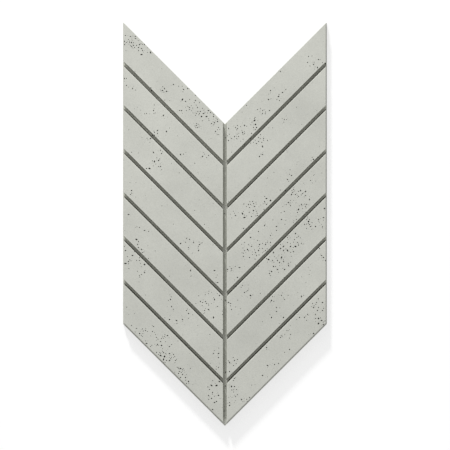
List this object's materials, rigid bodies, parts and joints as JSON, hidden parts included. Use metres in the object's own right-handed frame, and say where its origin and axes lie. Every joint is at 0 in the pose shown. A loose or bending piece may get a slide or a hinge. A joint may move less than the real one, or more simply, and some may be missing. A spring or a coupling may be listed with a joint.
{
  "type": "concrete wall panel",
  "caption": "Chevron-shaped wall panel of cast concrete, its face grooved into slanting slats on both sides of a middle groove, for cladding an interior wall.",
  "frame": {"origin": "centre of the overall outline, on the flat back", "axes": "+X across the panel, +Y up the wall from the point to the notch, +Z out of the wall from the back to the slatted face"},
  "size_m": [0.5, 0.991, 0.025],
  "materials": {
    "concrete": "matte"
  },
  "bodies": {
    "root": {"wall_panel": "concrete"}
  },
  "joints": []
}
